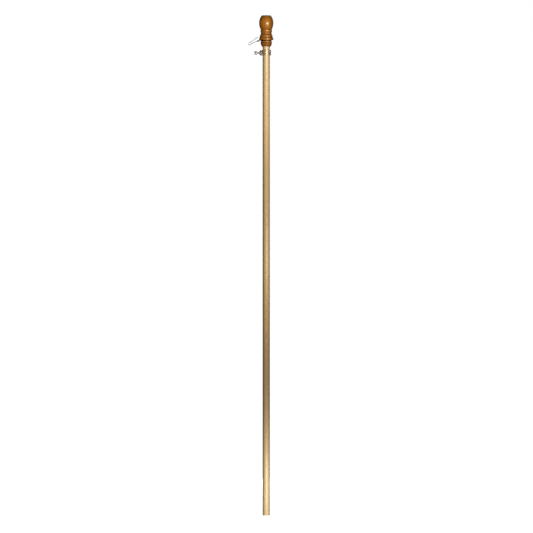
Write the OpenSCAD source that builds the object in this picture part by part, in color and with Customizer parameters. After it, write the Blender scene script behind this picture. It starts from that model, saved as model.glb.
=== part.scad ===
// Wooden flag pole: dowel, turned finial, swivelling wire clip and clamp collar.
// Millimetres, +Z up, origin at the centre of the pole's foot.
// The clip and the thumbscrew point towards -X.

/* [Pole] */
// Length of the dowel, foot to finial
pole_len = 1429; // [300:1:2400]
// Diameter of the dowel (7/8 in)
pole_d = 22.225; // [16:0.005:32]
// Chamfer at the foot
foot_chamfer = 0.5; // [0.2:0.1:1]

/* [Finial] */
// How far the finial's foot stands out past the dowel
foot_lip = 2.7; // [1:0.1:4]
// Widest radius of the cup above the foot
cup_r = 17.4; // [16.5:0.1:21]
// Height from the foot to the cup's widest line
cup_rise = 10.4; // [6:0.1:16]
// Height from there to the line cut above it
cup_fall = 2.2; // [1.5:0.1:5]
// Radius of the thin ring over the cup
ring_bead_r = 16.9; // [16:0.1:20]
// Height of that ring
ring_bead_h = 4.4; // [2:0.1:8]
// Radius of the neck that the clip turns on
neck_r = 14; // [11:0.1:16]
// Height of the groove round the neck
neck_h = 3.2; // [2.6:0.1:6]
// Radius of the flange over the neck
flange_r = 21.8; // [20:0.1:26]
// Height of the flange's upright edge
flange_edge_h = 4.4; // [1.5:0.1:7]
// Height of the slope over that edge
flange_slope_h = 4.2; // [2:0.1:8]
// Radius of the line between the slope and the big bead
bead_low_r = 19.4; // [18.5:0.1:20]
// Radius of the line over the big bead
bead_top_r = 17.5; // [16.8:0.1:18.4]
// How far that bead's flank bulges
bead_bulge = 0.9; // [0.2:0.1:1.2]
// Height of the big bead
bead_h = 7.8; // [4:0.1:14]
// Narrowest radius of the waist
waist_r = 16.15; // [15:0.05:16.5]
// Height of the waist
waist_h = 8; // [5:0.1:14]
// Radius of the small bead over the waist
small_bead_r = 17.6; // [17:0.1:19]
// Height of the small bead
small_bead_h = 7; // [3:0.1:9]
// Radius of the bulb's foot
bulb_foot_r = 16.9; // [16:0.1:18]
// Widest radius of the bulb
bulb_r = 21.7; // [19:0.1:28]
// Height from the bulb's foot to its widest line
bulb_rise = 21; // [14:0.1:30]
// Height from the widest line to the flat top
bulb_fall = 22.4; // [16:0.1:34]
// Radius where the bulb meets its flat top
top_r = 14.3; // [10:0.1:16]
// Rounding of the top edge
top_round = 1.6; // [0.4:0.1:2]
// Depth of the fine lines cut between the beads
line_depth = 0.6; // [0.3:0.05:0.9]
// Width of those lines
line_w = 1; // [0.5:0.1:1.4]

/* [Dowel screw] */
// Diameter over the thread (1/4 in)
dowel_screw_d = 6.35; // [4:0.05:8]
// Length, half in the dowel and half in the finial (2 in)
dowel_screw_len = 50.8; // [36:0.1:64]
// Pitch of its wood thread
dowel_screw_pitch = 2.54; // [2:0.01:3]
// Depth of its wood thread
dowel_thread_depth = 0.8; // [0.4:0.05:1]
// Length of each point
dowel_tip_len = 6; // [3:0.1:9]

/* [Wire clip] */
// Diameter of the spring wire
wire_d = 1.8; // [1.2:0.1:2.2]
// Gap between the neck and the ring that turns on it
ring_slack = 0.6; // [0.3:0.1:1]
// How far inside the flange's edge the wire starts to turn down
root_tuck = 0.4; // [0:0.1:2]
// Radius of the bend where the wire turns down
root_bend_r = 3; // [2:0.1:6]
// How far the arm points below level, in degrees
arm_drop = 22; // [10:1:35]
// Straight length of the arm
arm_len = 22.3; // [18:0.1:40]
// Turns of the wire's other end round the arm
wrap_turns = 2; // [1:1:4]
// Radius of the loop at the clip's end
loop_r = 4; // [3:0.1:6]
// How far each side is pinched in beside the loop, in degrees
pinch = 35; // [10:1:45]
// Radius of those two bends
pinch_r = 8; // [5:0.1:12]
// How far the free leg points above level, in degrees
leg_rise = 37; // [20:1:45]
// Straight length of the free leg
leg_len = 17; // [12:0.1:24]
// Bend near the leg's tip, in degrees
tip_bend = 17; // [5:1:30]
// Radius of that bend
tip_bend_r = 10; // [5:0.1:15]
// Straight length after that bend
tip_len = 4.5; // [2:0.1:7]
// How far the leg can be sprung open, in degrees
leg_open = 14; // [6:1:18]

/* [Collar] */
// Drop from the finial's foot to the middle of the collar
collar_drop = 18.6; // [14:0.1:400]
// Height of the collar
collar_h = 17.4; // [17.2:0.1:26]
// Gap between the dowel and the collar
collar_clear = 0.9; // [0.85:0.01:1.5]
// Wall of the collar
collar_wall = 2.4; // [1.6:0.1:4]
// Rounding of the collar's rims
collar_round = 0.7; // [0.3:0.1:0.9]
// How far the boss sits below the middle of the collar
boss_drop = 0.6; // [0:0.1:1]
// How far the boss stands out from the collar
boss_reach = 6.6; // [5.5:0.1:10]
// Radius of the boss where it leaves the collar
boss_base_r = 8.6; // [7.5:0.1:9]
// Radius of the boss's end
boss_tip_r = 5.6; // [5.2:0.1:7]
// How far the boss's flank bulges
boss_bulge = 1.2; // [0.2:0.1:1.5]

/* [Thumbscrew] */
// Diameter over the thread (No. 10)
stud_d = 4.826; // [3.5:0.001:6]
// Pitch of the thread (24 to the inch)
stud_pitch = 1.0583; // [0.6:0.0001:1.3]
// Depth of the thread
stud_thread_depth = 0.6; // [0.3:0.05:0.65]
// Bare stud between the boss and the head
stud_bare = 7.4; // [5:0.1:16]
// Running gap round the stud
stud_clear = 0.05; // [0.03:0.01:0.09]
// Length of the threaded bush
bush_len = 7; // [5:0.1:7.6]
// Wall of the threaded bush
bush_wall = 1.15; // [0.8:0.05:1.4]
// Diameter of the head
head_d = 11; // [9:0.1:18]
// Thickness of the head
head_h = 7.8; // [5:0.1:10]
// Chamfer of the head's edges
head_chamfer = 0.7; // [0.3:0.1:1]
// Number of knurls round the head
knurls = 30; // [16:1:40]
// Depth of each knurl
knurl_depth = 0.35; // [0.15:0.05:0.5]

/* [Hidden] */
$fn = 72;

pole_r = pole_d / 2;
// A screw or bush in its drilled hole, both in one body
hole_clear = 0.05;
// Spare depth past the end of a screw
end_clear = 1;

// Heights of the finial's parts, each counted from the foot of the pole
finial_z = pole_len;
cup_z = finial_z + cup_rise;
cup_line_z = cup_z + cup_fall;
neck_z = cup_line_z + ring_bead_h;
flange_z = neck_z + neck_h;
slope_z = flange_z + flange_edge_h;
bead_z = slope_z + flange_slope_h;
waist_z = bead_z + bead_h;
small_bead_z = waist_z + waist_h;
bulb_z = small_bead_z + small_bead_h;
bulb_wide_z = bulb_z + bulb_rise;
top_z = bulb_wide_z + bulb_fall;

// The finial's foot, and the corners of its flange
finial_foot_r = pole_r + foot_lip;
foot_round = 0.7;
edge_round = 0.5;

// The dowel screw's two holes meet at the finial's foot
screw_hole_r = dowel_screw_d / 2 + hole_clear;
screw_hole_depth = dowel_screw_len / 2 + end_clear;

// The clip is drawn in the plane y = 0 from the ring's centre. Each move goes straight
// for a length, then turns left by an angle on a radius: [length, angle, radius].
wire_r = wire_d / 2;
ring_r = neck_r + ring_slack + wire_r;
// level stretch from the ring out to the bend
root_len = flange_r - root_tuck - ring_r;
ring_z = neck_z + neck_h / 2;
// Half of the loop belongs to the arm, and the rest, less a gap to spring in, to the leg
half_loop = (180 + arm_drop + 2 * pinch - leg_rise) / 2;
flex_gap = leg_open + 4;
arm_moves = [
    [root_len, arm_drop, root_bend_r],
    [arm_len, pinch, pinch_r],
    [0, -half_loop, loop_r]
];
leg_moves = [
    [0, flex_gap - half_loop, loop_r],
    [0, pinch, pinch_r],
    [leg_len, -tip_bend, tip_bend_r],
    [tip_len, 0, tip_bend_r]
];
// A place on the wire is [x, z, heading above +X]
root = [-ring_r, 0, 180];
loop_start = after(root, [for (i = [0, 1]) arm_moves[i]]);
loop_c = [loop_start[0], loop_start[1]] - loop_r * leftward(loop_start[2]);
leg_start = after(loop_start, [[0, -half_loop - flex_gap, loop_r]]);
// Straight stretches and arcs stop this far short, inside knuckles this much fatter
seam = 0.03;
// The other end wraps round the arm, sunk a little into it
wrap_start = 1.4;
wrap_pitch = 0.9 * wire_d;
wrap_r = 0.95 * wire_d;

collar_z = pole_len - collar_drop;
screw_z = collar_z - boss_drop;
bore_r = pole_r + collar_clear;
collar_r = bore_r + collar_wall;

// Places along the thumbscrew, counted outwards from the pole's axis
stud_r = stud_d / 2;
boss_end = collar_r + boss_reach;
bush_start = boss_end - bush_len;
bush_r = stud_r + stud_clear + bush_wall;
head_start = boss_end + stud_bare;
head_end = head_start + head_h;
// The stud's tip lies level with the collar's bore
tip_start = bore_r;
head_floor = 1.2;
stud_end = head_end - head_floor - 0.2;

// Points of an arc from p to q that bulges by rise to the left of that line
function bow(p, q, rise, steps) =
    let (
        run = q - p,
        half = 2 * atan(2 * rise / norm(run)),
        radius = norm(run) / (2 * sin(half)),
        along = run / norm(run),
        out = [-along.y, along.x]
    )
    [for (i = [0 : steps])
        let (a = half * (2 * i / steps - 1))
        (p + q) / 2 + along * radius * sin(a) + out * radius * (cos(a) - cos(half))];

// How far an arc bulges that runs over span and leaves the upright by drop
function upright_rise(span, drop) =
    let (radius = (span ^ 2 + drop ^ 2) / (2 * drop))
    radius - sqrt(radius ^ 2 - (span ^ 2 + drop ^ 2) / 4);

// Left of a line that climbs is towards the axis, so a bead bulges by less than zero
function swell(p, q, steps) = bow(p, q, -upright_rise(abs(q.y - p.y), abs(q.x - p.x)), steps);

// A fine cut line in the outline, centred on height z
function cut_line(r, z) = [
    [r, z - line_w / 2],
    [r - line_depth, z],
    [r, z + line_w / 2]
];

// Teeth of a thread, drawn as rings, from height low to height high
function teeth(r, depth, pitch, low, high) =
    let (count = floor((high - low) / pitch))
    [for (i = [0 : count - 1], j = [0 : 3])
        [r - [0, 0, depth, depth][j], low + pitch * (i + [0, 0.25, 0.55, 0.8][j])]];

function forward(heading) = [cos(heading), sin(heading)];
function leftward(heading) = [-sin(heading), cos(heading)];

// Where the straight part of a move ends
function straight_end(place, move) =
    let (p = [place[0], place[1]] + move[0] * forward(place[2]))
    [p.x, p.y, place[2]];

// Where the turn of a move ends, from where its straight part does
function turn_end(place, move) =
    let (
        side = sign(move[1]) * move[2],
        heading = place[2] + move[1],
        p = [place[0], place[1]] + side * (leftward(place[2]) - leftward(heading))
    )
    [p.x, p.y, heading];

// The place reached after all of the moves
function after(place, moves, i = 0) =
    i == len(moves) ? place : after(turn_end(straight_end(place, moves[i]), moves[i]), moves, i + 1);

// A ball that closes the seam between two stretches of wire
module knuckle(place) {
    translate([place[0], 0, place[1]])
        sphere(r = wire_r + seam);
}

module rod(place, length) {
    translate([place[0], 0, place[1]])
        rotate([0, 90 - place[2], 0])
            translate([0, 0, seam])
                cylinder(r = wire_r, h = length - 2 * seam);
}

// Wire that turns by an angle on a radius, to the left if the angle is above zero
module turn(place, angle, radius) {
    side = sign(angle);
    centre = [place[0], place[1]] + side * radius * leftward(place[2]);
    short = seam / radius * 180 / PI;
    first = place[2] - side * 90 + side * short;
    translate([centre.x, 0, centre.y])
        rotate([90, 0, 0])
            rotate([0, 0, side > 0 ? first : first + angle + 2 * short])
                rotate_extrude(angle = abs(angle) - 2 * short)
                    translate([radius, 0])
                        circle(r = wire_r);
}

// The wire along a list of moves, with a knuckle after each straight part and turn
module wire(place, moves, i = 0) {
    move = moves[i];
    mid = straight_end(place, move);
    last = i == len(moves) - 1;
    if (move[0] > 0) {
        rod(place, move[0]);
        knuckle(mid);
    }
    if (move[1] != 0)
        turn(mid, move[1], move[2]);
    if (!last) {
        knuckle(turn_end(mid, move));
        wire(turn_end(mid, move), moves, i + 1);
    }
}

// Turns a shape drawn up +Z so that it points out along -X on the screw's axis
module along_screw(start) {
    translate([-start, 0, screw_z])
        rotate([0, -90, 0])
            children();
}

module pole() {
    color("burlywood")
        difference() {
            union() {
                cylinder(r1 = pole_r - foot_chamfer, r2 = pole_r, h = foot_chamfer);
                translate([0, 0, foot_chamfer])
                    cylinder(r = pole_r, h = pole_len - foot_chamfer);
            }
            translate([0, 0, pole_len - screw_hole_depth])
                cylinder(r = screw_hole_r, h = screw_hole_depth + 1);
        }
}

module finial_outline() {
    gap = line_w / 2;
    waist_end = small_bead_r - 0.4;
    polygon(concat(
        [[0, finial_z]],
        bow([finial_foot_r - foot_round, finial_z],
            [finial_foot_r, finial_z + foot_round], -0.2, 3),
        bow([finial_foot_r, finial_z + foot_round], [cup_r, cup_z], -0.35, 6),
        bow([cup_r, cup_z], [cup_r - 0.5, cup_line_z - gap], -0.1, 3),
        cut_line(ring_bead_r - 0.2, cup_line_z),
        bow([ring_bead_r - 0.2, cup_line_z + gap], [ring_bead_r - 0.5, neck_z], -0.4, 6),
        [[neck_r, neck_z], [neck_r, flange_z]],
        bow([flange_r - edge_round, flange_z],
            [flange_r, flange_z + edge_round], -0.15, 3),
        bow([flange_r, flange_z + edge_round], [flange_r - 0.2, slope_z], -0.1, 4),
        bow([flange_r - 0.2, slope_z], [bead_low_r, bead_z - gap], -0.3, 6),
        cut_line(bead_low_r, bead_z),
        bow([bead_low_r - 0.1, bead_z + gap], [bead_top_r, waist_z - gap], -bead_bulge, 10),
        cut_line(bead_top_r - 0.1, waist_z),
        bow([bead_top_r - 0.1, waist_z + gap], [waist_end, small_bead_z - gap],
            (bead_top_r - 0.1 + waist_end) / 2 - waist_r, 12),
        cut_line(waist_end, small_bead_z),
        bow([waist_end, small_bead_z + gap], [waist_end, bulb_z - gap], -0.4, 8),
        cut_line(bulb_foot_r, bulb_z),
        swell([bulb_foot_r, bulb_z + gap], [bulb_r, bulb_wide_z], 16),
        swell([bulb_r, bulb_wide_z], [top_r, top_z - top_round / 2], 18),
        bow([top_r, top_z - top_round / 2], [top_r - top_round, top_z], -0.3, 4),
        [[0, top_z]]
    ));
}

module finial() {
    color("saddlebrown")
        difference() {
            rotate_extrude()
                finial_outline();
            translate([0, 0, finial_z - 1])
                cylinder(r = screw_hole_r, h = screw_hole_depth + 1);
        }
}

// One half of the dowel screw, from its plain middle up to its point
module dowel_screw_half() {
    r = dowel_screw_d / 2;
    plain = 4;
    shoulder = dowel_screw_len / 2 - dowel_tip_len;
    rotate_extrude()
        polygon(concat(
            [[0, 0], [r, 0], [r, plain]],
            teeth(r, dowel_thread_depth, dowel_screw_pitch, plain + 0.5, shoulder),
            [[r - dowel_thread_depth, shoulder], [0.4, dowel_screw_len / 2],
                [0, dowel_screw_len / 2]]
        ));
}

module dowel_screw() {
    color("silver")
        translate([0, 0, pole_len]) {
            dowel_screw_half();
            mirror([0, 0, 1])
                dowel_screw_half();
        }
}

module clip_wire() {
    arm = after(root, [arm_moves[0]]);
    color("gainsboro")
        translate([0, 0, ring_z]) {
            rotate_extrude()
                translate([ring_r, 0])
                    circle(r = wire_r);
            wire(root, arm_moves);
            translate([arm[0], 0, arm[1]])
                rotate([0, 90 - arm[2], 0])
                    wrap();
        }
}

// The wire's other end, drawn as rings round the arm, with the arm up +Z
module wrap() {
    for (i = [0 : wrap_turns - 1])
        translate([0, 0, wrap_start + i * wrap_pitch])
            rotate_extrude()
                translate([wrap_r, 0])
                    circle(r = wire_r);
}

module clip_leg() {
    color("gainsboro")
        translate([0, 0, ring_z])
            wire(leg_start, leg_moves);
}

// The boss, counted outwards from the collar's bore
module boss_outline() {
    run = boss_end - bore_r;
    edge = 0.6;
    polygon(concat(
        [[0, 0], [boss_base_r, 0]],
        bow([boss_base_r, collar_wall / 2], [boss_tip_r, run - edge], -boss_bulge, 10),
        bow([boss_tip_r, run - edge], [boss_tip_r - edge, run], -0.2, 3),
        [[0, run]]
    ));
}

module collar() {
    color([0.8, 0.8, 0.78, 0.5])
        difference() {
            union() {
                translate([0, 0, collar_z])
                    rotate_extrude()
                        collar_outline();
                along_screw(bore_r)
                    rotate_extrude()
                        boss_outline();
            }
            translate([0, 0, collar_z - collar_h])
                cylinder(r = bore_r, h = 2 * collar_h);
            along_screw(bush_start)
                cylinder(r = bush_r + hole_clear, h = bush_len + 1);
            along_screw(0)
                cylinder(r = stud_r + 2 * stud_clear, h = boss_end);
        }
}

// The collar's wall, filled to the axis, with both outer rims rounded
module collar_outline() {
    half = collar_h / 2;
    inner = collar_r - collar_round;
    sag = 0.29 * collar_round;
    polygon(concat(
        [[0, -half]],
        bow([inner, -half], [collar_r, collar_round - half], -sag, 5),
        bow([collar_r, half - collar_round], [inner, half], -sag, 5),
        [[0, half]]
    ));
}

module thread_insert() {
    groove = 0.4;
    color("goldenrod")
        along_screw(bush_start)
            difference() {
                rotate_extrude()
                    polygon([
                        [0, 0],
                        [bush_r, 0],
                        [bush_r, 0.4 * bush_len],
                        [bush_r - groove, 0.45 * bush_len],
                        [bush_r - groove, 0.6 * bush_len],
                        [bush_r, 0.65 * bush_len],
                        [bush_r, bush_len],
                        [0, bush_len]
                    ]);
                translate([0, 0, -1])
                    cylinder(r = stud_r + stud_clear, h = bush_len + 2);
            }
}

module thumbscrew_stud() {
    point = 0.8;
    run = stud_end - tip_start;
    plain = stud_end - head_start;
    color("silver")
        along_screw(tip_start)
            rotate_extrude()
                polygon(concat(
                    [[0, 0], [stud_r - stud_thread_depth, 0]],
                    teeth(stud_r, stud_thread_depth, stud_pitch, point, run - plain),
                    [[stud_r, run - plain], [stud_r, run], [0, run]]
                ));
}

module thumbscrew_head() {
    r = head_d / 2;
    color("silver")
        along_screw(head_start)
            difference() {
                rotate_extrude()
                    polygon([
                        [0, 0],
                        [r - head_chamfer, 0],
                        [r, head_chamfer],
                        [r, head_h - head_chamfer],
                        [r - head_chamfer, head_h],
                        [0, head_h]
                    ]);
                translate([0, 0, -1])
                    cylinder(r = stud_r + stud_clear, h = 1 + head_h - head_floor);
                for (i = [0 : knurls - 1])
                    rotate([0, 0, i * 360 / knurls])
                        translate([r, 0, -1])
                            cylinder(r = knurl_depth, h = head_h + 2, $fn = 4);
            }
}

pole();
finial();
dowel_screw();
clip_wire();
clip_leg();
collar();
thread_insert();
thumbscrew_stud();
thumbscrew_head();
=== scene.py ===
import math

import bpy
import numpy as np
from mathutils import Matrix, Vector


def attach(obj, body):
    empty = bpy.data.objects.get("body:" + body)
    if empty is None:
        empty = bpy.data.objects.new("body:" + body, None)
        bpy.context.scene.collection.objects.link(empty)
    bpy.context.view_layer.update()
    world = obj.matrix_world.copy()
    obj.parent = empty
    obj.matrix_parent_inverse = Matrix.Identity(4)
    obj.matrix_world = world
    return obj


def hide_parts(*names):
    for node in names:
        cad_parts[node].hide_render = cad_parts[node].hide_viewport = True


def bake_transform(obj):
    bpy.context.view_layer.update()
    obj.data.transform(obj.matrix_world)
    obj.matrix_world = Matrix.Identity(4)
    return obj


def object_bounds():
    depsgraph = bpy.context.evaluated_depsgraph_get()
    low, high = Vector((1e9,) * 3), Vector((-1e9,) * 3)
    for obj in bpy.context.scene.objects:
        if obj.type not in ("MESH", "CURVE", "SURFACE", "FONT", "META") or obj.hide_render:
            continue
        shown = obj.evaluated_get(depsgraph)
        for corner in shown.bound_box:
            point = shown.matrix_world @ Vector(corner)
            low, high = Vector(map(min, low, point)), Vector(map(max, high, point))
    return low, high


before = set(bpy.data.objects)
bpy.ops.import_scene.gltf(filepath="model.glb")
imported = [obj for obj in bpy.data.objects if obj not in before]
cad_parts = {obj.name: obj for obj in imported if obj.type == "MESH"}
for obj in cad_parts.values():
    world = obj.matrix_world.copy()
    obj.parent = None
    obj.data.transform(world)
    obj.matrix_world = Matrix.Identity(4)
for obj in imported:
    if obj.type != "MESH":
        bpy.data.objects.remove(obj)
cadLow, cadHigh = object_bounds()
tall = cadHigh.z - cadLow.z
mm = 0.001
scene = bpy.context.scene
scene.view_settings.view_transform = "Standard"
print("frame loaded, height", round(tall, 4))

# Camera: level and far off, aimed at the middle of the pole
cameraSizes = {"lens": 300.0, "sensor": 36.0, "wide": 1.0662, "aimSide": 0.0005, "aimHeight": 0.4978}
cameraData = bpy.data.cameras.new("camera")
cameraData.lens = cameraSizes["lens"]
cameraData.sensor_width = cameraSizes["sensor"]
cameraBack = cameraSizes["wide"] * tall * cameraSizes["lens"] / cameraSizes["sensor"]
cameraData.clip_end = 40 * cameraBack
camera = bpy.data.objects.new("camera", cameraData)
camera.location = (cameraSizes["aimSide"] * tall, -cameraBack, cadLow.z + cameraSizes["aimHeight"] * tall)
camera.rotation_euler = (math.pi / 2, 0, 0)
scene.collection.objects.link(camera)
scene.camera = camera


# Adds a shader node; inputs may be plain values or the sockets that feed them
def add(tree, kind, inputs=None, **settings):
    made = tree.nodes.new("ShaderNode" + kind)
    for key, value in settings.items():
        setattr(made, key, value)
    for key, value in (inputs or {}).items():
        socket = made.inputs[key]
        if isinstance(value, bpy.types.NodeSocket):
            tree.links.new(value, socket)
        else:
            socket.default_value = value
    return made


def calc(tree, operation, a, b=0.0, c=0.0):
    return add(tree, "Math", {0: a, 1: b, 2: c}, operation=operation).outputs[0]


# Smooth step of a value between two limits, to a new pair of limits
def ease(tree, value, low, high, start=0.0, end=1.0):
    made = add(tree, "MapRange", {"Value": value, "From Min": low, "From Max": high, "To Min": start, "To Max": end},
               interpolation_type="SMOOTHSTEP")
    return made.outputs["Result"]


def blendColour(tree, amount, a, b, how="MIX"):
    made = add(tree, "Mix", data_type="RGBA", blend_type=how, clamp_factor=True)
    for socket, value in ((made.inputs[0], amount), (made.inputs[6], a), (made.inputs[7], b)):
        if isinstance(value, bpy.types.NodeSocket):
            tree.links.new(value, socket)
        else:
            socket.default_value = (*value, 1.0) if isinstance(value, tuple) and len(value) == 3 else value
    return made.outputs[2]


# Multiplies a colour by one number
def shade(tree, colour, tone):
    grey = add(tree, "CombineColor", {0: tone, 1: tone, 2: tone}).outputs[0]
    return blendColour(tree, 1.0, colour, grey, "MULTIPLY")


def newMaterial(name):
    made = bpy.data.materials.new(name)
    made.use_nodes = True
    made.node_tree.nodes.clear()
    return made, made.node_tree


# Studio: white surround, pale floor, soft boxes to the right of the camera
studio = {"floorSize": 120.0, "floorDrop": 0.0002, "floorTone": 0.45, "floorGlow": 0.985,
          "leftSky": 0.01, "rightSky": 0.06, "frontSky": 0.10, "topSky": 0.12, "throughSky": 0.45}
softBoxes = {
    "topBox": {"turn": 19, "height": 1.46, "away": 0.60, "wide": 0.30, "high": 0.12, "watts": 4.2,
               "colour": (1.0, 0.95, 0.85)},
    "middleBox": {"turn": 21, "height": 0.80, "away": 0.32, "wide": 0.12, "high": 0.16, "watts": 0.66},
    "footBox": {"turn": 19, "height": 0.09, "away": 0.26, "wide": 0.10, "high": 0.14, "watts": 0.76},
    "backBox": {"turn": 178, "height": 0.95, "away": 2.40, "wide": 1.3, "high": 1.7, "watts": 27.0},
}


def lightStudio():
    world = bpy.data.worlds.new("surround")
    scene.world = world
    world.use_nodes = True
    tree = world.node_tree
    tree.nodes.clear()
    way = add(tree, "SeparateXYZ", {0: add(tree, "TexCoord").outputs["Generated"]})
    sky = add(tree, "MapRange", {"Value": way.outputs["X"], "From Min": -1.0, "From Max": 1.0,
                                 "To Min": studio["leftSky"], "To Max": studio["rightSky"]})
    front = calc(tree, "MAXIMUM", calc(tree, "MULTIPLY", way.outputs["Y"], -1.0), 0.0)
    strength = calc(tree, "MULTIPLY_ADD", calc(tree, "MULTIPLY", front, front), studio["frontSky"],
                    sky.outputs["Result"])
    above = calc(tree, "MAXIMUM", way.outputs["Z"], 0.0)
    strength = calc(tree, "MULTIPLY_ADD", calc(tree, "MULTIPLY", above, above), studio["topSky"], strength)
    fill = add(tree, "Background", {"Color": (1, 1, 1, 1), "Strength": strength})
    path = add(tree, "LightPath").outputs
    through = calc(tree, "MULTIPLY", path["Is Transmission Ray"], studio["throughSky"])
    shown = calc(tree, "MAXIMUM", path["Is Camera Ray"], through)
    seen = add(tree, "Background", {"Color": (1, 1, 1, 1), "Strength": shown})
    mix = add(tree, "MixShader", {0: calc(tree, "CEIL", shown), 1: fill.outputs[0], 2: seen.outputs[0]})
    add(tree, "OutputWorld", {"Surface": mix.outputs[0]})
    for name, box in softBoxes.items():
        lamp = bpy.data.lights.new(name, "AREA")
        lamp.shape = "RECTANGLE"
        lamp.size, lamp.size_y = box["wide"], box["high"]
        lamp.energy = box["watts"]
        lamp.color = box.get("colour", (1.0, 1.0, 1.0))
        holder = bpy.data.objects.new(name, lamp)
        turn = math.radians(box["turn"])  # from the camera's side, to the right
        holder.location = (box["away"] * math.sin(turn), -box["away"] * math.cos(turn), box["height"])
        holder.rotation_euler = (math.pi / 2, 0, turn)
        holder.visible_camera = False
        holder.visible_glossy = holder.visible_transmission = name != "backBox"
        scene.collection.objects.link(holder)


def layFloor():
    half = studio["floorSize"] / 2
    level = cadLow.z - studio["floorDrop"]
    mesh = bpy.data.meshes.new("floor")
    mesh.from_pydata([(-half, -half, level), (half, -half, level), (half, half, level), (-half, half, level)],
                     [], [(0, 1, 2, 3)])
    floor = bpy.data.objects.new("floor", mesh)
    scene.collection.objects.link(floor)
    material, tree = newMaterial("paleFloor")
    tone = studio["floorTone"]
    matt = add(tree, "BsdfDiffuse", {"Color": (tone, tone, tone, 1)})
    glow = add(tree, "Emission", {"Color": (1, 1, 1, 1), "Strength": calc(
        tree, "MULTIPLY", add(tree, "LightPath").outputs["Is Camera Ray"], studio["floorGlow"])})
    both = add(tree, "AddShader", {0: matt.outputs[0], 1: glow.outputs[0]})
    add(tree, "OutputMaterial", {"Surface": both.outputs[0]})
    mesh.materials.append(material)


lightStudio()
layFloor()
print("studio lit")


# Fills a mesh from a grid of points, row i along the shape and column j round it.
# The columns close on themselves; each end row closes with a fan to its own middle.
def surface(name, grid, sharp=40.0):
    rows, columns = grid.shape[:2]
    index = np.arange(rows * columns).reshape(rows, columns)
    low, high = index[:-1], index[1:]
    quads = np.stack([low, np.roll(low, -1, 1), np.roll(high, -1, 1), high], axis=-1).reshape(-1, 4)
    ends = np.stack([grid[0].mean(0), grid[-1].mean(0)])
    points = np.concatenate([grid.reshape(-1, 3), ends])
    first, last = index[0], index[-1]
    fanLow = np.stack([np.roll(first, -1), first, np.full(columns, rows * columns)], axis=-1)
    fanHigh = np.stack([last, np.roll(last, -1), np.full(columns, rows * columns + 1)], axis=-1)
    fans = np.concatenate([fanLow, fanHigh])
    # six times the volume is the sum of corner triple products; below zero means inside out
    corners = np.concatenate([quads[:, [0, 1, 2]], quads[:, [0, 2, 3]], fans])
    a, b, c = (points[corners[:, k]] for k in range(3))
    if np.einsum("ij,ij->i", a, np.cross(b, c)).sum() < 0:
        quads, fans = quads[:, ::-1], fans[:, ::-1]
    mesh = bpy.data.meshes.new(name)
    mesh.from_pydata((points * mm).tolist(), [], quads.tolist() + fans.tolist())
    mesh.shade_smooth()
    mesh.set_sharp_from_angle(angle=math.radians(sharp))
    made = bpy.data.objects.new(name, mesh)
    scene.collection.objects.link(made)
    return made


# Turns a profile of radius and height about the upright axis
def turned(profile, segments, wave=None):
    angle = np.linspace(0, 2 * np.pi, segments, endpoint=False)[None, :]
    radius, height = profile[:, :1] + 0 * angle, profile[:, 1:] + 0 * angle
    if wave is not None:
        radius = wave(radius, angle + 0 * radius, height)
    return np.stack([radius * np.cos(angle), radius * np.sin(angle), height], axis=-1)


# Points of an arc from p to q that bulges by rise to the left of that line
def bow(p, q, rise, steps):
    p, q = np.array(p, float), np.array(q, float)
    run = q - p
    length = np.hypot(*run)
    half = 2 * math.atan(2 * rise / length)
    radius = length / (2 * math.sin(half))
    along = run / length
    out = np.array([-along[1], along[0]])
    a = (half * np.linspace(-1, 1, steps + 1))[:, None]
    return (p + q) / 2 + along * radius * np.sin(a) + out * radius * (np.cos(a) - math.cos(half))


# An arc that leaves the upright by the drop between its two radii
def swell(p, q, steps):
    span, drop = abs(q[1] - p[1]), abs(q[0] - p[0])
    radius = (span ** 2 + drop ** 2) / (2 * drop)
    return bow(p, q, math.sqrt(radius ** 2 - (span ** 2 + drop ** 2) / 4) - radius, steps)


# Walks a line at even steps, then averages it over a short length, which rounds its corners
def soften(line, step, width):
    line = np.asarray(line, float)
    travel = np.concatenate([[0], np.cumsum(np.hypot(*np.diff(line, axis=0).T))])
    even = np.linspace(0, travel[-1], max(int(travel[-1] / step), 2) + 1)
    dense = np.stack([np.interp(even, travel, line[:, k]) for k in (0, 1)], axis=1)
    reach = max(int(3 * width / step), 1)
    weight = np.exp(-0.5 * (np.arange(-reach, reach + 1) * step / width) ** 2)
    weight /= weight.sum()
    before = 2 * dense[0] - dense[reach:0:-1]
    after = 2 * dense[-1] - dense[-2:-2 - reach:-1]
    padded = np.concatenate([before, dense, after])
    return np.stack([np.convolve(padded[:, k], weight, "valid") for k in (0, 1)], axis=1)


# Carries a circle along a path; across holds a side direction at each point of the path
def wireGrid(path, across, radius, sides):
    ahead = np.gradient(path, axis=0)
    ahead /= np.linalg.norm(ahead, axis=1, keepdims=True)
    side = across - (across * ahead).sum(1, keepdims=True) * ahead
    side /= np.linalg.norm(side, axis=1, keepdims=True)
    other = np.cross(ahead, side)
    angle = np.linspace(0, 2 * np.pi, sides, endpoint=False)[None, :, None]
    ring = side[:, None] * np.cos(angle) + other[:, None] * np.sin(angle)
    return path[:, None] + radius[:, None, None] * ring


# Node groups that several materials share
def newGroup(name, inputs, outputs):
    tree = bpy.data.node_groups.new(name, "ShaderNodeTree")
    for label, kind, value in inputs:
        socket = tree.interface.new_socket(label, in_out="INPUT", socket_type="NodeSocket" + kind)
        if value is not None:
            socket.default_value = value
    for label in outputs:
        tree.interface.new_socket(label, in_out="OUTPUT", socket_type="NodeSocketFloat")
    return tree, tree.nodes.new("NodeGroupInput").outputs, tree.nodes.new("NodeGroupOutput").inputs


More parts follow.
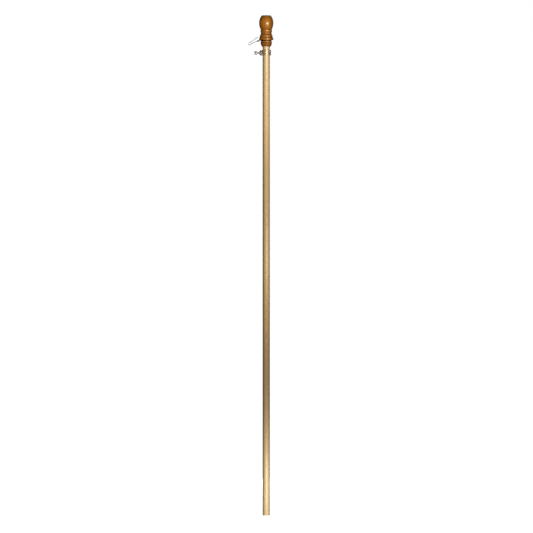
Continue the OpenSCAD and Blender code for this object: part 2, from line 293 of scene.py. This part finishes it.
# Grain of a solid block: growth rings round a pith that lies beside the piece, long fibres and pores
def grainGroup():
    tree, given, result = newGroup("woodGrain", [
        ("Place", "Vector", None), ("PithX", "Float", -30.0), ("PithY", "Float", 22.0),
        ("RingWidth", "Float", 2.2), ("Waver", "Float", 3.0)], ["Rings", "Fibre", "Pores"])
    place = add(tree, "VectorMath", {0: given["Place"], "Scale": 1000.0}, operation="SCALE").outputs[0]
    slow = add(tree, "VectorMath", {0: place, 1: (0.03, 0.03, 0.006)}, operation="MULTIPLY").outputs[0]
    drift = add(tree, "TexNoise", {"Vector": slow, "Scale": 1.0, "Detail": 2.0}).outputs[0]
    split = add(tree, "SeparateXYZ", {0: place}).outputs
    x = calc(tree, "SUBTRACT", split[0], given["PithX"])
    y = calc(tree, "SUBTRACT", split[1], given["PithY"])
    away = calc(tree, "SQRT", calc(tree, "MULTIPLY_ADD", x, x, calc(tree, "MULTIPLY", y, y)))
    away = calc(tree, "MULTIPLY_ADD", drift, given["Waver"], away)
    turn = calc(tree, "FRACT", calc(tree, "DIVIDE", away, given["RingWidth"]))
    rise, fall = ease(tree, turn, 0.35, 0.86), ease(tree, turn, 0.90, 0.99, 1.0, 0.0)
    tree.links.new(calc(tree, "MULTIPLY", rise, fall), result["Rings"])
    long = add(tree, "VectorMath", {0: place, 1: (1.5, 1.5, 0.028)}, operation="MULTIPLY").outputs[0]
    tree.links.new(add(tree, "TexNoise", {"Vector": long, "Scale": 1.0, "Detail": 4.0, "Roughness": 0.6}).outputs[0],
                   result["Fibre"])
    fine = add(tree, "VectorMath", {0: place, 1: (4.2, 4.2, 0.22)}, operation="MULTIPLY").outputs[0]
    pits = add(tree, "TexNoise", {"Vector": fine, "Scale": 1.0, "Detail": 1.0}).outputs[0]
    tree.links.new(ease(tree, pits, 0.60, 0.70), result["Pores"])
    return tree


# Handling: broad smudges and small specks of dust
def handlingGroup():
    tree, given, result = newGroup("handling", [("Place", "Vector", None), ("Broad", "Float", 120.0),
                                                ("Fine", "Float", 1400.0)], ["Smudge", "Specks"])
    wide = add(tree, "TexNoise", {"Vector": given["Place"], "Scale": given["Broad"], "Detail": 3.0}).outputs[0]
    tree.links.new(ease(tree, wide, 0.40, 0.64), result["Smudge"])
    tiny = add(tree, "TexVoronoi", {"Vector": given["Place"], "Scale": given["Fine"]}).outputs["Distance"]
    thin = add(tree, "TexNoise", {"Vector": given["Place"], "Scale": given["Broad"], "Detail": 1.0}).outputs[0]
    spots = ease(tree, tiny, 0.06, 0.13, 1.0, 0.0)
    tree.links.new(calc(tree, "MULTIPLY", spots, ease(tree, thin, 0.48, 0.60)), result["Specks"])
    return tree


# Metal skin: fine drawn lines and a patchy dull film
def metalGroup():
    tree, given, result = newGroup("metalSkin", [
        ("Place", "Vector", None), ("Lines", "Vector", (900.0, 900.0, 900.0)), ("Film", "Float", 260.0)],
        ["Scratch", "Tarnish"])
    drawn = add(tree, "VectorMath", {0: given["Place"], 1: given["Lines"]}, operation="MULTIPLY").outputs[0]
    lines = add(tree, "TexNoise", {"Vector": drawn, "Scale": 1.0, "Detail": 3.0}).outputs[0]
    tree.links.new(lines, result["Scratch"])
    film = add(tree, "TexNoise", {"Vector": given["Place"], "Scale": given["Film"], "Detail": 4.0}).outputs[0]
    tree.links.new(ease(tree, film, 0.42, 0.68), result["Tarnish"])
    return tree


grain, handling, metalSkin = grainGroup(), handlingGroup(), metalGroup()


def useGroup(tree, group, inputs):
    made = tree.nodes.new("ShaderNodeGroup")
    made.node_tree = group
    for key, value in inputs.items():
        if isinstance(value, bpy.types.NodeSocket):
            tree.links.new(value, made.inputs[key])
        else:
            made.inputs[key].default_value = value
    return made.outputs


def principled(tree, inputs, bump=None, strength=0.3, depth=0.00005):
    shader = add(tree, "BsdfPrincipled", inputs)
    if bump is not None:
        raised = add(tree, "Bump", {"Height": bump, "Strength": strength, "Distance": depth})
        tree.links.new(raised.outputs[0], shader.inputs["Normal"])
    return shader


def finish(tree, shader):
    add(tree, "OutputMaterial", {"Surface": shader})


def place(piece, body, nodes, slot, material):
    piece.data.materials.clear()
    piece.data.materials.append(material)
    if body:
        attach(piece, body)
    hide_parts(*nodes)


dowel = {"length": 1429.0, "radius": 11.1125, "chamfer": 0.5, "holeRadius": 3.225, "holeDepth": 26.4,
         "rowStep": 6.0, "outOfRound": 0.02,
         "pale": (0.84, 0.63, 0.33), "ringTone": (0.67, 0.42, 0.18), "poreTone": (0.47, 0.27, 0.11),
         "sideShadeCentre": -1.0, "sideShadeStart": 3.0, "sideShadeFull": 9.0, "sideShadeTone": 0.70,
         "warmGreen": 0.12, "warmBlue": 0.26,
         # height in millimetres, tone, warmth: painted light and shade along the pole, standing for how brightly the
         # lamps light each height
         "paintedLightAlong": [(0, 0.88, 0.0), (220, 0.80, 0.4), (580, 0.96, 1.0), (900, 0.74, 0.6), (1190, 0.99, 0.5),
                   (1429, 0.76, 0.0)]}


def dowelMaterial():
    material, tree = newMaterial("paleDowel")
    own = add(tree, "TexCoord").outputs["Object"]
    wood = useGroup(tree, grain, {"Place": own, "PithX": -34.0, "PithY": 18.0, "RingWidth": 2.6, "Waver": 3.4})
    worn = useGroup(tree, handling, {"Place": own, "Broad": 45.0, "Fine": 900.0})
    colour = blendColour(tree, calc(tree, "MULTIPLY", wood["Rings"], 0.34), dowel["pale"], dowel["ringTone"])
    colour = blendColour(tree, ease(tree, wood["Fibre"], 0.46, 0.72, 0.0, 0.45), colour, dowel["ringTone"])
    colour = blendColour(tree, calc(tree, "MULTIPLY", wood["Pores"], 0.45), colour, dowel["poreTone"])
    split = add(tree, "SeparateXYZ", {0: own}).outputs
    # painted shade: darker toward the left and right edges as the camera sees the pole, palest in a band up the
    # front and the back
    sideShade = ease(tree, calc(tree, "ABSOLUTE", calc(tree, "SUBTRACT", split["X"], dowel["sideShadeCentre"] * mm)),
                dowel["sideShadeStart"] * mm, dowel["sideShadeFull"] * mm, 1.0, dowel["sideShadeTone"])
    colour = shade(tree, colour, sideShade)
    up = calc(tree, "DIVIDE", split["Z"], dowel["length"] * mm)
    tone = add(tree, "ValToRGB", {"Fac": up})  # painted light and shade: paler and darker along the length, for how the lamps light the pole
    stops = tone.color_ramp.elements
    stops.remove(stops[1])
    for k, (height, value, warm) in enumerate(dowel["paintedLightAlong"]):
        stop = stops[0] if k == 0 else stops.new(height / dowel["length"])
        stop.color = (value, value * (1 - dowel["warmGreen"] * warm), value * (1 - dowel["warmBlue"] * warm), 1)
    colour = blendColour(tree, 1.0, colour, tone.outputs["Color"], "MULTIPLY")
    rough = calc(tree, "MULTIPLY_ADD", worn["Smudge"], 0.10, calc(tree, "MULTIPLY_ADD", wood["Fibre"], 0.16, 0.30))
    relief = calc(tree, "SUBTRACT", wood["Fibre"], calc(tree, "MULTIPLY", wood["Pores"], 0.8))
    shader = principled(tree, {"Base Color": colour, "Roughness": rough, "Coat Weight": 0.25,
                               "Coat Roughness": 0.22, "Specular IOR Level": 0.42}, relief, 0.35, 0.00006)
    finish(tree, shader.outputs[0])
    return material


# A turned profile: chamfered foot, straight shaft, square top with the screw's hole in it
def makeDowel():
    d = dowel
    footLine = [(0.4, 0), (d["radius"] - d["chamfer"], 0), (d["radius"], d["chamfer"]), (d["radius"], 3)]
    foot = soften(footLine, 0.12, 0.12)
    rows = np.arange(8.0, d["length"] - 3, d["rowStep"])
    shaft = np.stack([np.full_like(rows, d["radius"]), rows], axis=1)
    top = soften([(d["radius"], d["length"] - 2), (d["radius"], d["length"]), (d["holeRadius"], d["length"]),
                  (d["holeRadius"], d["length"] - d["holeDepth"]), (0.4, d["length"] - d["holeDepth"])], 0.25, 0.05)
    profile = np.concatenate([foot, shaft, top])

    # sanded by hand: out of round by two hundredths, in slow turns up the shaft
    def sanded(radius, angle, height):
        slow = np.sin(2 * angle + height / 61) + np.sin(3 * angle - height / 37)
        return radius - d["outOfRound"] / 2 * (2 + slow) * (radius > 0.9 * d["radius"])

    piece = surface("dowel", turned(profile, 96, sanded))
    place(piece, "pole", ["pole"], "dowel_wood", dowelMaterial())


makeDowel()
print("dowel turned")

# Finial, sizes in millimetres from its foot upwards
finial = {"foot": 1429.0, "footRadius": 13.8125, "cup": (17.4, 10.4, 2.2), "ring": (16.9, 4.4), "neck": (14.0, 3.2),
          "flange": (21.8, 4.4), "slope": 4.2, "bead": (19.4, 17.5, 7.8), "beadBulge": 0.9, "waist": (16.15, 8.0),
          "smallBead": (17.6, 7.0), "bulb": (16.9, 21.7, 21.0, 22.4), "top": (14.3, 1.6), "line": (1.0, 0.6),
          "holeRadius": 3.225, "holeDepth": 26.4,
          "rightShadeFrom": 6.0, "rightShadeTo": 19.0, "rightShadeTone": 0.48, "footShadeReach": 16.0,
          "stain": (0.46, 0.165, 0.007), "darkStain": (0.15, 0.046, 0.002), "darkestStainAndShade": (0.05, 0.016, 0.003)}


# The outline from the foot's edge to the rim of the flat top: an arc for each bead, a notch for each line
def finialOutline():
    f = finial
    gap, depth = f["line"][0] / 2, f["line"][1]
    cupZ = f["foot"] + f["cup"][1]
    lineZ = cupZ + f["cup"][2]
    neckZ = lineZ + f["ring"][1]
    flangeZ = neckZ + f["neck"][1]
    slopeZ = flangeZ + f["flange"][1]
    beadZ = slopeZ + f["slope"]
    waistZ = beadZ + f["bead"][2]
    smallZ = waistZ + f["waist"][1]
    bulbZ = smallZ + f["smallBead"][1]
    wideZ = bulbZ + f["bulb"][2]
    topZ = wideZ + f["bulb"][3]
    waistEnd = f["smallBead"][0] - 0.4
    flange, foot, cup, ring = f["flange"][0], f["footRadius"], f["cup"][0], f["ring"][0]
    notch = lambda r, z: [(r, z - gap), (r - depth, z), (r, z + gap)]
    low, high = f["bead"][0], f["bead"][1]
    return np.concatenate([
        bow((foot - 0.7, f["foot"]), (foot, f["foot"] + 0.7), -0.2, 3),
        bow((foot, f["foot"] + 0.7), (cup, cupZ), -0.35, 8),
        bow((cup, cupZ), (cup - 0.5, lineZ - gap), -0.1, 3),
        notch(ring - 0.2, lineZ),
        bow((ring - 0.2, lineZ + gap), (ring - 0.5, neckZ), -0.4, 8),
        [(f["neck"][0], neckZ), (f["neck"][0], flangeZ)],
        bow((flange - 0.5, flangeZ), (flange, flangeZ + 0.5), -0.15, 3),
        bow((flange, flangeZ + 0.5), (flange - 0.2, slopeZ), -0.1, 4),
        bow((flange - 0.2, slopeZ), (low, beadZ - gap), -0.3, 8),
        notch(low, beadZ),
        bow((low - 0.1, beadZ + gap), (high, waistZ - gap), -f["beadBulge"], 16),
        notch(high - 0.1, waistZ),
        bow((high - 0.1, waistZ + gap), (waistEnd, smallZ - gap), (high - 0.1 + waistEnd) / 2 - f["waist"][0], 12),
        notch(waistEnd, smallZ),
        bow((waistEnd, smallZ + gap), (waistEnd, bulbZ - gap), -0.4, 8),
        notch(f["bulb"][0], bulbZ),
        swell((f["bulb"][0], bulbZ + gap), (f["bulb"][1], wideZ), 40),
        swell((f["bulb"][1], wideZ), (f["top"][0], topZ - f["top"][1] / 2), 40),
        bow((f["top"][0], topZ - f["top"][1] / 2), (f["top"][0] - f["top"][1], topZ), -0.3, 4)])


def finialMaterial():
    material, tree = newMaterial("stainedFinial")
    own = add(tree, "TexCoord").outputs["Object"]
    wood = useGroup(tree, grain, {"Place": own, "PithX": 46.0, "PithY": 30.0, "RingWidth": 3.4, "Waver": 6.0})
    worn = useGroup(tree, handling, {"Place": own, "Broad": 70.0, "Fine": 1300.0})
    stainAndShade = add(tree, "Attribute", attribute_name="stainAndShade").outputs["Fac"]
    colour = blendColour(tree, calc(tree, "MULTIPLY", wood["Rings"], 0.42), finial["stain"], finial["darkStain"])
    colour = blendColour(tree, ease(tree, wood["Fibre"], 0.42, 0.70, 0.0, 0.40), colour, finial["darkStain"])
    colour = blendColour(tree, calc(tree, "MULTIPLY", wood["Pores"], 0.5), colour, finial["darkestStainAndShade"])
    # the stored mark darkens toward the darkest colour: stain and painted shade together
    colour = blendColour(tree, calc(tree, "MULTIPLY", stainAndShade, 0.9), colour, finial["darkestStainAndShade"])
    # painted shade: darker down the right side of the finial as the camera sees it
    sideways = add(tree, "SeparateXYZ", {0: own}).outputs["X"]
    rightShade = ease(tree, sideways, finial["rightShadeFrom"] * mm, finial["rightShadeTo"] * mm, 1.0, finial["rightShadeTone"])
    colour = shade(tree, colour, rightShade)
    rough = calc(tree, "MULTIPLY_ADD", worn["Smudge"], 0.08, calc(tree, "MULTIPLY_ADD", wood["Fibre"], 0.12, 0.30))
    relief = calc(tree, "SUBTRACT", wood["Fibre"], wood["Pores"])
    shader = principled(tree, {"Base Color": colour, "Roughness": rough, "Coat Weight": 0.5, "Coat Roughness": 0.23,
                               "Specular IOR Level": 0.25, "Coat IOR": 1.5}, relief, 0.18, 0.00005)
    finish(tree, shader.outputs[0])
    return material


# The outline turned about the upright axis, with the screw's hole up its foot and a flat top
def makeFinial():
    f = finial
    outline = soften(finialOutline(), 0.28, 0.22)
    broad = soften(outline, 0.28, 1.1)
    hollow = np.interp(outline[:, 1], broad[:, 1], broad[:, 0]) - outline[:, 0]
    foot, top = f["foot"], outline[-1]
    inside = np.array([(0.4, foot + f["holeDepth"]), (f["holeRadius"], foot + f["holeDepth"]),
                       (f["holeRadius"], foot), (7.0, foot), (outline[0, 0] - 0.3, foot)])
    over = np.array([(top[0] * k, top[1]) for k in (0.98, 0.7, 0.4, 0.15, 0.02)])
    profile = np.concatenate([inside, outline, over])
    # stain and painted shade: lines and hollows darken, partly stain sinking in and partly painted shade in the
    # recesses; faces running across the grain darken, partly stain in end grain and partly painted shade where they
    # turn up or down away from the lamps
    run = np.gradient(outline, axis=0)
    across = np.abs(run[:, 0]) / np.hypot(*run.T)
    # painted shade: darker on the cup below the flange, toward the foot
    footShade = np.clip((f["foot"] + f["footShadeReach"] - outline[:, 1]) / 4, 0, 1)
    linesStainAndShade, endGrainStainAndShade = np.clip(hollow / 0.30, 0, 1), np.clip(across / 0.85, 0, 1) ** 1.5
    sunk = np.clip(0.55 * linesStainAndShade + 0.85 * endGrainStainAndShade + 0.30 * footShade, 0, 1)
    # the screw's hole is darkened in full and the flat top by 0.6, like the end grain
    stainAndShade = np.concatenate([np.ones(len(inside)), sunk, np.full(len(over), 0.6)])
    segments = 144
    piece = surface("turnedFinial", turned(profile, segments), 50.0)
    stored = piece.data.attributes.new("stainAndShade", "FLOAT", "POINT")
    stored.data.foreach_set("value", np.concatenate([np.repeat(stainAndShade, segments), [0, 0]]).astype(np.float32))
    place(piece, "pole", ["finial"], "stained_wood", finialMaterial())


makeFinial()
print("finial turned")

# Spring clip: one wire from the free tip, round the loop, up the arm, round the neck and back on itself
clip = {"wire": 0.9, "ringZ": 1447.6, "ringRadius": 15.5, "rootAt": -20.5,
        "moves": [(0.9, 22, 3), (22.3, 35, 8), (0, -235, 4), (0, 35, 8), (17, -17, 10), (4.5, 0, 10)],
        "ringFrom": 191.0, "ringTo": 526.0, "armTurn": 22.0, "loopCentre": (-50.267, -9.454), "loopSplit": 119.5,
        "flangeShadeFrom": 25.5, "flangeShadeTo": 31.5, "flangeShadeBelow": 1451.0, "ringLead": 2.6, "endLead": 1.5,
        "endPark": (-18.2, -21.0), "wrapTurns": 2.15, "wrapPitch": 1.86, "wrapRadius": 1.84, "wrapGap": 0.04,
        "metal": (0.40, 0.40, 0.41), "dull": (0.22, 0.215, 0.21), "flangeShade": (0.09, 0.075, 0.055)}


# Heading is in degrees above +X. A move goes straight on, then turns left on a radius
def plainRun(start, heading, moves, step=0.3):
    x, z = start
    found = [np.array([[x, z]])]
    for straight, turn, radius in moves:
        way = math.radians(heading)
        if straight:
            t = np.linspace(0, straight, int(straight / step) + 2)[1:]
            found.append(np.stack([x + t * math.cos(way), z + t * math.sin(way)], axis=1))
            x, z = found[-1][-1]
        if turn:
            side = math.copysign(radius, turn)
            t = way + np.linspace(0, math.radians(turn), int(abs(math.radians(turn)) * radius / step) + 3)[1:]
            found.append(np.stack([x + side * (np.sin(t) - math.sin(way)),
                                   z - side * (np.cos(t) - math.cos(way))], axis=1))
            x, z = found[-1][-1]
            heading += turn
    flat = np.concatenate(found)
    return np.stack([flat[:, 0], 0 * flat[:, 0], flat[:, 1]], axis=1)


# Cubic from p to q that leaves along a and arrives along b
def easyBend(p, a, b, q, steps):
    t = np.linspace(0, 1, steps + 1)[1:, None]
    p, a, b, q = (np.array(v, float) for v in (p, a, b, q))
    return (1 - t) ** 3 * p + 3 * t * (1 - t) ** 2 * (p + a) + 3 * t * t * (1 - t) * (q - b) + t ** 3 * q


# Straights and arcs for leg, loop and arm, a circle round the neck, then a helix back round the arm
def clipPath():
    c = clip
    arm = plainRun((c["rootAt"], 0), 180, c["moves"])[::-1]
    r = c["ringRadius"]
    enter, leave = math.radians(c["ringFrom"]), math.radians(c["ringTo"])
    ringStart = (r * math.cos(enter), r * math.sin(enter), 0)
    ringEnd = (r * math.cos(leave), r * math.sin(leave), 0)
    lead, park = c["ringLead"], c["endPark"]
    intoRing = easyBend(arm[-1], (lead, 0, 0), (-lead * math.sin(enter), lead * math.cos(enter), 0), ringStart, 14)
    t = np.linspace(enter, leave, 220)[1:]
    ring = np.stack([r * np.cos(t), r * np.sin(t), 0 * t], axis=1)
    side = c["wrapRadius"] + c["wrapGap"]
    lead = c["endLead"]
    outOfRing = easyBend(ringEnd, (-lead * math.sin(leave), lead * math.cos(leave), 0), (-lead, 0, 0),
                         (park[0], side, 0), 10)
    away = np.linspace((park[0], side, 0), (park[1], side, 0), 9)[1:]
    # the wrap is a helix about the arm, from its +Y side under it and up the other side
    armWay = math.radians(180 + c["armTurn"])
    along = np.array([math.cos(armWay), 0, math.sin(armWay)])
    sideways, under = np.array([0.0, 1.0, 0.0]), np.array([-along[2], 0, along[0]])
    bendEnd = plainRun((c["rootAt"], 0), 180, c["moves"][:1])[-1]
    s = np.linspace(0, c["wrapTurns"] * c["wrapPitch"], 84)[:, None]
    phase = 2 * np.pi * s / c["wrapPitch"]
    spoke = np.cos(phase) * sideways + np.sin(phase) * under
    wrap = bendEnd + along * (0.5 + s) + c["wrapRadius"] * spoke
    arrive = wrap[1] - wrap[0]
    intoWrap = easyBend(away[-1], (-0.9, 0, 0), 0.9 * arrive / np.linalg.norm(arrive), wrap[0], 10)
    path = np.concatenate([arm, intoRing, ring, outOfRing, away, intoWrap, wrap[1:]])
    up = np.array([0.0, 0.0, 1.0])
    tilt = lambda n, low, high: np.radians(np.linspace(low, high, n))[:, None]
    mix = lambda n, low, high: np.cos(tilt(n, low, high)) * sideways + np.sin(tilt(n, low, high)) * up
    across = np.concatenate([
        mix(len(arm), 0, 0), mix(len(intoRing), 0, 90), mix(len(ring), 90, 90), mix(len(outOfRing), 90, 90),
        mix(len(away), 90, 20), mix(len(intoWrap), 20, 0), spoke[1:]])
    return path, across


# A dome over each end: the circle shrinks as its own centre moves on
def domed(path, across, radius, steps=5):
    bend = np.linspace(0, np.pi / 2, steps + 1)[1:]
    startWay, endWay = path[0] - path[1], path[-1] - path[-2]
    startWay, endWay = startWay / np.linalg.norm(startWay), endWay / np.linalg.norm(endWay)
    start = path[0] + radius * np.sin(bend)[::-1, None] * startWay
    end = path[-1] + 0.3 * radius * np.sin(bend)[:, None] * endWay
    thick = np.concatenate([radius * np.cos(bend)[::-1], np.full(len(path), radius), radius * np.cos(bend)])
    thick = np.maximum(thick, 0.02)
    return (np.concatenate([start, path, end]),
            np.concatenate([np.repeat(across[:1], steps, 0), across, np.repeat(across[-1:], steps, 0)]), thick)


def metalMaterial(name, metal, dull, rough, lines, film, relief=0.12, worn=0.5, flangeShade=None):
    material, tree = newMaterial(name)
    own = add(tree, "TexCoord").outputs["Object"]
    skin = useGroup(tree, metalSkin, {"Place": own, "Lines": lines, "Film": film})
    grime = useGroup(tree, handling, {"Place": own, "Broad": 320.0, "Fine": 3200.0})
    colour = blendColour(tree, calc(tree, "MULTIPLY", skin["Tarnish"], worn), metal, dull)
    colour = blendColour(tree, calc(tree, "MULTIPLY", grime["Specks"], 0.25), colour, dull)
    if flangeShade:  # painted shade: darker where the metal lies near the upright axis, below a height, for the shade under the finial's flange
        flat = add(tree, "VectorMath", {0: own, 1: (1.0, 1.0, 0.0)}, operation="MULTIPLY").outputs[0]
        far = add(tree, "VectorMath", {0: flat}, operation="LENGTH").outputs["Value"]
        height = add(tree, "SeparateXYZ", {0: own}).outputs["Z"]
        below = ease(tree, height, flangeShade[3] * mm, (flangeShade[3] + 2) * mm, 1.0, 0.0)
        near = calc(tree, "MULTIPLY", ease(tree, far, flangeShade[0] * mm, flangeShade[1] * mm, 1.0, 0.0), below)
        colour = blendColour(tree, calc(tree, "MULTIPLY", near, calc(
            tree, "MULTIPLY_ADD", skin["Scratch"], 0.4, 0.75)), colour, flangeShade[2])
    lined = calc(tree, "MULTIPLY_ADD", skin["Scratch"], 0.14, rough)
    dullness = calc(tree, "MULTIPLY_ADD", skin["Tarnish"], 0.16, lined)
    shader = principled(tree, {"Base Color": colour, "Metallic": 1.0, "Roughness": dullness},
                        skin["Scratch"], relief, 0.00003)
    finish(tree, shader.outputs[0])
    return material


# The wire's circle carried along that path, domed at both ends
def makeClip():
    c = clip
    path, across, thick = domed(*clipPath(), c["wire"])
    grid = wireGrid(path, across, thick, 18) + np.array([0, 0, c["ringZ"]])
    piece = surface("springClip", grid)
    # painted shade: the wire near the neck is darkened as if under the flange
    place(piece, None, ["clip_wire", "clip_leg"], "spring_wire",
          metalMaterial("springWire", c["metal"], c["dull"], 0.24, (500.0, 900.0, 500.0), 160.0, relief=0.03,
                        flangeShade=(c["flangeShadeFrom"], c["flangeShadeTo"], c["flangeShade"], c["flangeShadeBelow"])))
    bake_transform(piece)


makeClip()
print("clip bent")

# Collar: clear plastic with its boss, cut edges softened as a mould leaves them
collar = {"grid": 0.30, "soften": 6, "tint": (0.86, 0.79, 0.72), "rough": 0.34, "litThrough": (0.81, 0.77, 0.73)}


def clearMaterial():
    material, tree = newMaterial("clearPlastic")
    own = add(tree, "TexCoord").outputs["Object"]
    worn = useGroup(tree, handling, {"Place": own, "Broad": 160.0, "Fine": 1800.0})
    flow = add(tree, "TexNoise", {"Vector": own, "Scale": 95.0, "Detail": 1.0}).outputs[0]
    dim = tuple(v * 0.86 for v in collar["tint"])
    colour = blendColour(tree, calc(tree, "MULTIPLY", worn["Specks"], 0.5), collar["tint"], dim)
    rough = calc(tree, "MULTIPLY_ADD", worn["Smudge"], 0.07, collar["rough"])
    shader = principled(tree, {"Base Color": colour, "Roughness": rough, "IOR": 1.49, "Transmission Weight": 1.0},
                        flow, 0.25, 0.0002)
    lamps = add(tree, "BsdfTransparent", {"Color": (*collar["litThrough"], 1)})
    path = add(tree, "LightPath").outputs
    straight = calc(tree, "MAXIMUM", path["Is Shadow Ray"], path["Is Diffuse Ray"])
    mix = add(tree, "MixShader", {0: straight, 1: shader.outputs[0], 2: lamps.outputs[0]})
    finish(tree, mix.outputs[0])
    return material


# The collar's own mesh, merged, rebuilt on a fine even grid and smoothed
def makeCollar():
    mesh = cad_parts["collar"].data.copy()
    mesh.materials.clear()
    piece = bpy.data.objects.new("clearCollar", mesh)
    scene.collection.objects.link(piece)
    weld = piece.modifiers.new("weld", "WELD")
    weld.merge_threshold = 0.00001
    remesh = piece.modifiers.new("remesh", "REMESH")
    remesh.mode, remesh.voxel_size, remesh.use_smooth_shade = "VOXEL", collar["grid"] * mm, True
    smooth = piece.modifiers.new("smooth", "SMOOTH")
    smooth.factor, smooth.iterations = 0.5, collar["soften"]
    bpy.context.view_layer.update()
    done = bpy.data.meshes.new_from_object(piece.evaluated_get(bpy.context.evaluated_depsgraph_get()))
    piece.modifiers.clear()
    piece.data = done
    done.name = "clearCollar"
    done.shade_smooth()
    place(piece, "collar", ["collar"], "clear_plastic", clearMaterial())


makeCollar()
print("collar moulded")

# Thumbscrew and bush, drawn up +Z and laid along -X; distances are from the pole's axis
screwHeight = 1409.8
stud = {"radius": 2.413, "pitch": 1.0583, "depth": 0.6, "tip": 12.0125, "threadEnd": 28.4125, "end": 34.8125,
        "fade": 0.7, "point": 0.8, "metal": (0.54, 0.53, 0.50), "dull": (0.34, 0.33, 0.30)}


def alongScrew(grid, start):
    return np.stack([-start - grid[..., 2], grid[..., 1], screwHeight + grid[..., 0]], axis=-1)


# A right-hand thread: the groove's depth is a blunt V of the turns left over at each angle and height
def makeStud():
    long, threaded = stud["end"] - stud["tip"], stud["threadEnd"] - stud["tip"]
    rows = np.linspace(0, long, 310)

    def thread(radius, angle, height):
        part = (height / stud["pitch"] - angle / (2 * np.pi)) % 1
        cut = np.clip(1.3 * np.abs(2 * part - 1) - 0.15, 0, 1)
        fade = np.clip((threaded - height) / stud["fade"], 0, 1)
        point = np.clip(height / stud["point"], 0, 1)
        return np.minimum(radius - stud["depth"] * cut * fade, stud["radius"] - stud["depth"] * (1 - point))

    profile = np.stack([np.full_like(rows, stud["radius"]), rows], axis=1)
    piece = surface("screwStud", alongScrew(turned(profile, 48, thread), stud["tip"]), 60.0)
    place(piece, "screw_stud", ["thumbscrew_stud"], "plated_steel",
          metalMaterial("studMetal", stud["metal"], stud["dull"], 0.26, (700.0, 2600.0, 2600.0), 500.0))


makeStud()

head = {"start": 28.4125, "long": 7.8, "radius": 5.5, "bore": 2.463, "chamfer": 0.7, "dish": (3.5, 3.2, 0.3),
        "boreShort": 1.2, "knurls": 30, "knurlDepth": 0.35, "metal": (0.54, 0.53, 0.50), "dull": (0.34, 0.33, 0.30)}


# Straight knurls: a V of the turns left over at each angle, only on the rim
def makeHead():
    r, high, cut, bore = head["radius"], head["long"], head["chamfer"], head["bore"]
    lip, floor, sunk = head["dish"]
    boreEnd = high - head["boreShort"]
    line = [(0.3, boreEnd), (bore, boreEnd), (bore, 0.3), (bore + 0.3, 0), (r - cut, 0), (r, cut),
            (r, high - cut), (r - cut, high), (lip, high), (floor, high - sunk), (0.3, high - sunk)]

    def knurl(radius, angle, height):
        part = (head["knurls"] * angle / (2 * np.pi)) % 1
        cutDepth = head["knurlDepth"] * np.clip(1.6 * np.abs(2 * part - 1) - 0.6, 0, 1)
        return radius - cutDepth * np.clip((radius - (r - cut)) / (0.6 * cut), 0, 1)

    profile = soften(line, 0.22, 0.07)
    piece = surface("knurledHead", alongScrew(turned(profile, head["knurls"] * 8, knurl), head["start"]), 35.0)
    place(piece, "screw_head", ["thumbscrew_head"], "plated_steel",
          metalMaterial("headMetal", head["metal"], head["dull"], 0.30, (350.0, 1600.0, 1600.0), 380.0, 0.07, 0.6))


makeHead()

bush = {"start": 14.0125, "long": 7.0, "bore": 2.463, "wall": 1.15, "groove": 0.4, "ridges": 26, "slant": 5,
        "ridgeHeight": 0.06, "brass": (0.28, 0.24, 0.19), "oldBrass": (0.16, 0.13, 0.10)}


# A closed ring profile turned about the screw's axis
def makeBush():
    bore, long, groove = bush["bore"], bush["long"], bush["groove"]
    outer = bore + bush["wall"]
    line = [(outer - 0.15, 0), (outer, 0.15), (outer, 0.4 * long), (outer - groove, 0.45 * long),
            (outer - groove, 0.6 * long), (outer, 0.65 * long), (outer, long - 0.1), (outer - 0.1, long),
            (bore + 0.2, long), (bore, long - 0.2), (bore, 0.2), (bore + 0.2, 0), (outer - 0.15, 0)]

    # diamond knurl: two sets of slanted ridges multiplied
    def diamonds(radius, angle, height):
        one = bush["ridges"] * angle + bush["slant"] * height
        two = bush["ridges"] * angle - bush["slant"] * height
        return radius - bush["ridgeHeight"] * (1 - np.cos(one) * np.cos(two)) * (radius > outer - 0.05)

    profile = soften(line, 0.16, 0.05)
    grid = alongScrew(turned(profile, 156, diamonds), bush["start"])
    piece = surface("brassBush", np.concatenate([grid, grid[:1]]), 40.0)
    place(piece, "collar", ["thread_insert"], "bush_brass",
          metalMaterial("bushBrass", bush["brass"], bush["oldBrass"], 0.28, (600.0, 2000.0, 2000.0), 400.0))


makeBush()
print("thumbscrew cut")

# The hidden dowel screw keeps its own shape
zinc = {"metal": (0.58, 0.58, 0.56), "dull": (0.34, 0.33, 0.30)}
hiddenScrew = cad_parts["dowel_screw"]
hiddenScrew.data.materials.clear()
hiddenScrew.data.materials.append(
    metalMaterial("zincScrew", zinc["metal"], zinc["dull"], 0.30, (1800.0, 1800.0, 300.0), 300.0))

print("pieces ready")
